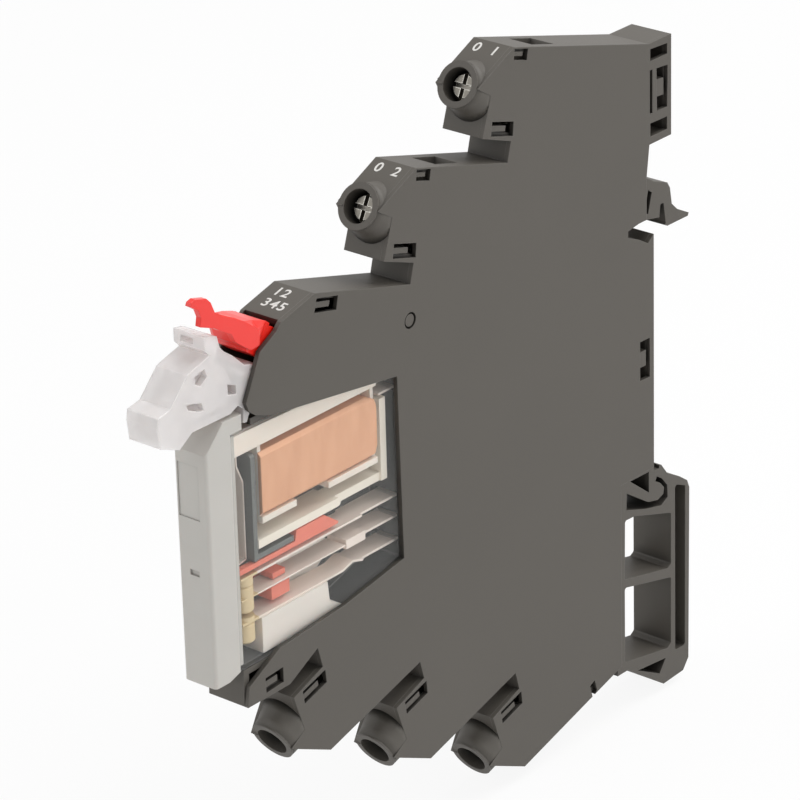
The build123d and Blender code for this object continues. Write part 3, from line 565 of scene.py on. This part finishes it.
def finished(piece, material, body):
    """The piece in one material, moving with a body."""
    piece.data.materials.clear()
    piece.data.materials.append(material)
    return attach(piece, body)


print("prisms can be made, joined and softened")

# %% [markdown]
# The red lever is wider than its slot. Its block narrows towards both sides, so that it clears the slot's
# walls, and a thin blade on the near side ends in the thumb beak. Its round heel turns in the slot, so it
# keeps the solid's own outline: an arc about the latch, which is the point that the lever turns about.

# %% Red release lever
LATCH = (-73.4, 25.6)
HEEL_RADIUS = 2.7
HEEL_ANGLES = range(85, 24, -12)
HEEL_HALF = 2.25
BLADE_FAR = 2.15
BLADE_NEAR = 3.0
BEAK_FAR = 2.2
BEAK_NEAR = 2.97
SOFT_EDGE = 0.15
HEEL = [(LATCH[0] + HEEL_RADIUS * math.cos(math.radians(angle)),
         LATCH[1] + HEEL_RADIUS * math.sin(math.radians(angle))) for angle in HEEL_ANGLES]
LEVER_BODY = HEEL + [(-72.4, 24.7), (-74.3, 24.7), (-76.5, 26.3), (-77.2, 28.3)]
BEAK = [(-86.4, 35.5), (-86.2, 35.9), (-85.5, 36.1), (-83.7, 35.6), (-83.0, 34.9), (-82.4, 33.5),
        (-81.3, 32.8), (-79.2, 31.7), (-77.4, 30.5), (-76.0, 29.3), (-75.8, 28.2), (-76.1, 27.2),
        (-76.8, 26.9), (-77.4, 27.3), (-79.2, 28.7), (-79.7, 29.8), (-81.6, 30.9), (-82.6, 31.6),
        (-84.9, 32.5), (-84.7, 33.6), (-85.1, 34.6)]
BLADE = [(-81.3, 31.0), (-80.9, 32.4), (-79.2, 31.7), (-77.4, 30.6), (-76.2, 29.7), (-75.1, 28.7),
         (-75.1, 27.8), (-75.2, 26.9), (-76.6, 26.8), (-77.3, 27.3), (-79.2, 28.8), (-79.8, 29.9)]
BLOCK = [(-77.2, 30.3), (-75.6, 30.0), (-73.8, 29.4), (-72.45, 28.5), (-73.3, 27.2), (-75.9, 26.4),
         (-77.2, 27.3), (-77.6, 28.8)]
BLOCK_WALL = [(-77.1, 30.2), (-75.6, 29.95), (-74.2, 29.5), (-73.2, 29.1), (-73.8, 27.7), (-75.9, 26.5),
              (-77.1, 27.3), (-77.5, 28.8)]
BLOCK_SIDE = [(-76.8, 29.9), (-75.9, 29.6), (-75.3, 29.0), (-75.1, 28.5), (-75.1, 27.7), (-75.5, 26.9),
              (-76.8, 27.3), (-77.2, 28.8)]
BLOCK_SECTIONS = [(-3.0, BLOCK_SIDE), (-2.3, BLOCK_WALL), (-2.2, BLOCK),
                  (2.2, BLOCK), (2.3, BLOCK_WALL), (2.9, BLOCK_SIDE)]
red_lever = prism("red_lever", BLOCK_SECTIONS)
red_lever = joined(red_lever, slab("lever_heel", LEVER_BODY, -HEEL_HALF, HEEL_HALF), "UNION")
red_lever = joined(red_lever, slab("lever_blade", BLADE, BLADE_FAR, BLADE_NEAR), "UNION")
red_lever = joined(red_lever, slab("lever_beak", BEAK, BEAK_FAR, BEAK_NEAR), "UNION")
finished(softened(red_lever, SOFT_EDGE), RED_PLASTIC, "release_lever")
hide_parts("release_lever")
print("red lever has", len(red_lever.data.polygons), "faces")

# %% [markdown]
# The clear lever is a thin-walled moulding, and the walls behind show through the milky ones in front. One
# drawn from nothing would have to repeat the solid's outside, so this is a copy of the solid, hollowed
# further by three cutters: its core, a slot in its tab and a window in its near cheek.

# %% Clear retaining lever
LEVER_CORE = [(-90.8, 22.7), (-90.7, 20.7), (-88.5, 19.5), (-86.2, 20.7), (-79.2, 20.8), (-78.4, 22.6),
              (-79.6, 25.2), (-81.4, 26.9), (-82.6, 27.4), (-86.2, 26.4), (-89.4, 23.2)]
TAB_SLOT = [(-84.4, 30.2), (-81.9, 30.0), (-82.2, 29.2), (-84.4, 29.4)]
CHEEK_WINDOW = [(-80.2, 23.6), (-78.7, 23.0), (-78.7, 21.9), (-80.2, 22.3)]
LEVER_CUTS = [(LEVER_CORE, -1.5, 1.5), (TAB_SLOT, -1.3, 0.6), (CHEEK_WINDOW, 0.5, 3.0)]
clear_lever = placed("clear_lever", NODES["retaining_lever"].data.copy())
for outline, low, high in LEVER_CUTS:
    clear_lever = joined(clear_lever, slab("cutter", outline, low, high), "DIFFERENCE")
finished(clear_lever, MILKY_LEVER, "retaining_lever")
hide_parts("retaining_lever")
print("clear lever has", len(clear_lever.data.polygons), "faces")

# %% [markdown]
# Behind the contact springs stands a pale wall of the contact block. It is flat, so one slab is enough.

# %% Wall of the contact block
WALL_FAR = -2.05
WALL_NEAR = -1.6
WALL = [(-68.6, -8.2), (-68.6, -4.9), (-60.2, -4.5), (-59.5, -5.8), (-60.6, -7.6), (-62.4, -8.9),
        (-63.7, -9.4), (-63.9, -8.2)]
block_wall = finished(slab("block_wall", WALL, WALL_FAR, WALL_NEAR), BLOCK_PLASTIC, "relay")
print("wall behind the springs has", len(block_wall.data.polygons), "faces")

# %% [markdown]
# Each screw barrel flares out into the nose that carries it. A short hollow cone round the barrel, turned
# about the screw's own axis and cut off flat near the module's sides, gives that flare.

# %% Flares round the screw barrels
SCREW_ANGLE = math.radians(27.8)
NOSE_TIPS = [(-35.0, 45.9, 1), (-53.8, 36.35, 1), (-72.6, 26.8, -1), (-53.8, 36.35, -1), (-35.0, 45.9, -1)]
FLARE = [(0.25, 2.92), (1.3, 3.05), (2.4, 3.35), (3.6, 3.95)]
FLARE_INSIDE = 2.5
FLARE_HALF = 3.08
FLARE_SIDES = 48


def flare(number, tip_y, tip_z, side):
    """A hollow cone of (depth, radius) rings from a nose's tip. The side is 1 above the rail and -1 below."""
    mesh = bmesh.new()
    along = Vector((0, math.cos(SCREW_ANGLE), -side * math.sin(SCREW_ANGLE)))
    across = Vector((1, 0, 0)).cross(along)
    rings = []
    for depth, radius in FLARE + [(FLARE[-1][0], FLARE_INSIDE), (FLARE[0][0], FLARE_INSIDE)]:
        ring = []
        for i in range(FLARE_SIDES):
            turn = 2 * math.pi * i / FLARE_SIDES
            x = max(-FLARE_HALF, min(FLARE_HALF, radius * math.cos(turn)))
            point = Vector((x, tip_y, side * tip_z)) + along * depth + across * radius * math.sin(turn)
            ring.append(mesh.verts.new(point * MM))
        rings.append(ring)
    for first, second in zip(rings, rings[1:] + rings[:1]):
        for i in range(FLARE_SIDES):
            j = (i + 1) % FLARE_SIDES
            mesh.faces.new((first[i], first[j], second[j], second[i])).smooth = True
    piece = solid(f"screw_flare_{number}", mesh)
    finished(piece, SOCKET_PLASTIC, "socket")
    return piece


for number, (tip_y, tip_z, side) in enumerate(NOSE_TIPS, start=1):
    flare(number, tip_y, tip_z, side)
print(len(NOSE_TIPS), "flares")

# %% [markdown]
# The terminals carry small printed numbers. Ink could be painted into the plastic's material, but text made
# as a thin mesh is sharp at any distance and can be moved by itself, so plain figures lie on the noses.

# %% Printed numbers
PRINT_SIZE = 2.1
PRINT_DEPTH = 0.02 * MM
PRINT_SPACING = 1.15
BOLDER = 0.035 * MM
NOSE_SLOPE = 24.6
TIP_SLOPE = 14.5
PRINTS = [("number_1", "0  1", (-0.24, -29.19, 48.56), NOSE_SLOPE),
          ("number_2", "0  2", (-0.24, -47.99, 39.01), NOSE_SLOPE),
          ("numbers_upper", "12", (-0.63, -66.96, 29.67), TIP_SLOPE),
          ("numbers_lower", "345", (0.03, -69.17, 29.10), TIP_SLOPE)]


def print_material():
    finish = new_finish("white print")
    worn = finish.noise(scale=2500.0, detail=3.0)
    tone = finish.mix(worn, from_screen(205, 203, 198), from_screen(240, 238, 234))
    return finish.show(finish.principled(Base_Color=tone, Roughness=0.5 + 0.1 * worn))


WHITE_PRINT = print_material()


def printed(name, words, middle, slope):
    """Words along +X on a face that climbs towards the rear at a slope, in degrees."""
    text = bpy.data.curves.new(name, "FONT")
    text.body = words
    text.size = PRINT_SIZE * MM
    text.align_x = "CENTER"
    text.align_y = "CENTER"
    text.extrude = PRINT_DEPTH / 2
    text.space_character = PRINT_SPACING
    text.offset = BOLDER
    source = placed(name + "_text", text)
    mesh = as_shown(source)
    bpy.data.objects.remove(source)
    mesh.transform(Matrix.Translation(Vector(middle) * MM) @ Matrix.Rotation(math.radians(slope), 4, "X"))
    mesh.materials.clear()
    mesh.materials.append(WHITE_PRINT)
    piece = placed(name, mesh)
    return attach(piece, "socket")


for name, words, middle, slope in PRINTS:
    printed(name, words, middle, slope)
print(len(PRINTS), "lines of numbers printed")

# %% [markdown]
# Soft studio light: a panel high up and behind, one to the left of the camera and a larger one on the right.
# Small lamps would throw hard shadows. The panels' strength is set so that a colour comes out about as it
# is written.

# %% Light
CENTRE = Vector((0, -40, 0)) * MM


def panel(name, azimuth, elevation, distance, size, power):
    """A square lamp that looks at the middle of the module. Its size and distance are in metres."""
    data = bpy.data.lights.new(name, "AREA")
    data.size = size
    data.energy = power
    way = towards(azimuth, elevation)
    lamp = placed(name, data)
    lamp.location = CENTRE + way * distance
    lamp.rotation_mode = "QUATERNION"
    lamp.rotation_quaternion = way.to_track_quat("Z", "Y")
    return lamp


panel("overhead", azimuth=150, elevation=62, distance=0.8, size=0.6, power=5.0)
panel("key", azimuth=-25, elevation=30, distance=0.8, size=0.6, power=1.6)
panel("fill", azimuth=95, elevation=20, distance=0.9, size=0.8, power=2.2)
print("three panels hung")

# %% [markdown]
# The floor and the world are white where the camera or a mirror sees them, so the module stands on white
# paper as in the photograph. Paper lit until it is white would light the module too, so the rays that light
# things see it dimmer, and the floor keeps the module's shadow.

# %% Floor and world
FLOOR_Z = -51.0 * MM
FLOOR_HALF = 4.0
FLOOR_GLOW = 0.9
WORLD_LIGHT = 0.3


def white_for_eyes(finish):
    """1 for the camera, a mirror or glass, and 0 for the light that falls on things."""
    rays = [finish.node("ShaderNodeLightPath", {}, {}, f"Is {kind} Ray")
            for kind in ("Camera", "Glossy", "Transmission")]
    return (rays[0] + rays[1] + rays[2]).clip()


def pale_floor():
    finish = new_finish("floor")
    tone = finish.mix(finish.noise(scale=40.0), tinted(WHITE, 0.9), tinted(WHITE, 0.93))
    lit = finish.principled(Base_Color=tone, Roughness=0.8, Specular_IOR_Level=0.1)
    glow = finish.node("ShaderNodeEmission", {}, {"Color": rgba(WHITE), "Strength": 1.0})
    return finish.show(finish.mix_shaders(white_for_eyes(finish) * FLOOR_GLOW, lit, glow))


def pale_world():
    finish = Finish(bpy.data.worlds.new("studio"), "ShaderNodeOutputWorld")
    light = finish.node("ShaderNodeBackground", {}, {"Color": rgba(WHITE), "Strength": WORLD_LIGHT})
    seen = finish.node("ShaderNodeBackground", {}, {"Color": rgba(WHITE), "Strength": 1.0})
    return finish.show(finish.mix_shaders(white_for_eyes(finish), light, seen))


floor_mesh = bpy.data.meshes.new("floor")
floor_mesh.from_pydata([(-FLOOR_HALF, -FLOOR_HALF, FLOOR_Z), (FLOOR_HALF, -FLOOR_HALF, FLOOR_Z),
                        (FLOOR_HALF, FLOOR_HALF, FLOOR_Z), (-FLOOR_HALF, FLOOR_HALF, FLOOR_Z)],
                       [], [(0, 1, 2, 3)])
floor_mesh.materials.append(pale_floor())
floor = placed("floor", floor_mesh)
bpy.context.scene.world = pale_world()
bpy.context.scene.view_settings.view_transform = "Standard"
print("floor and world are white")
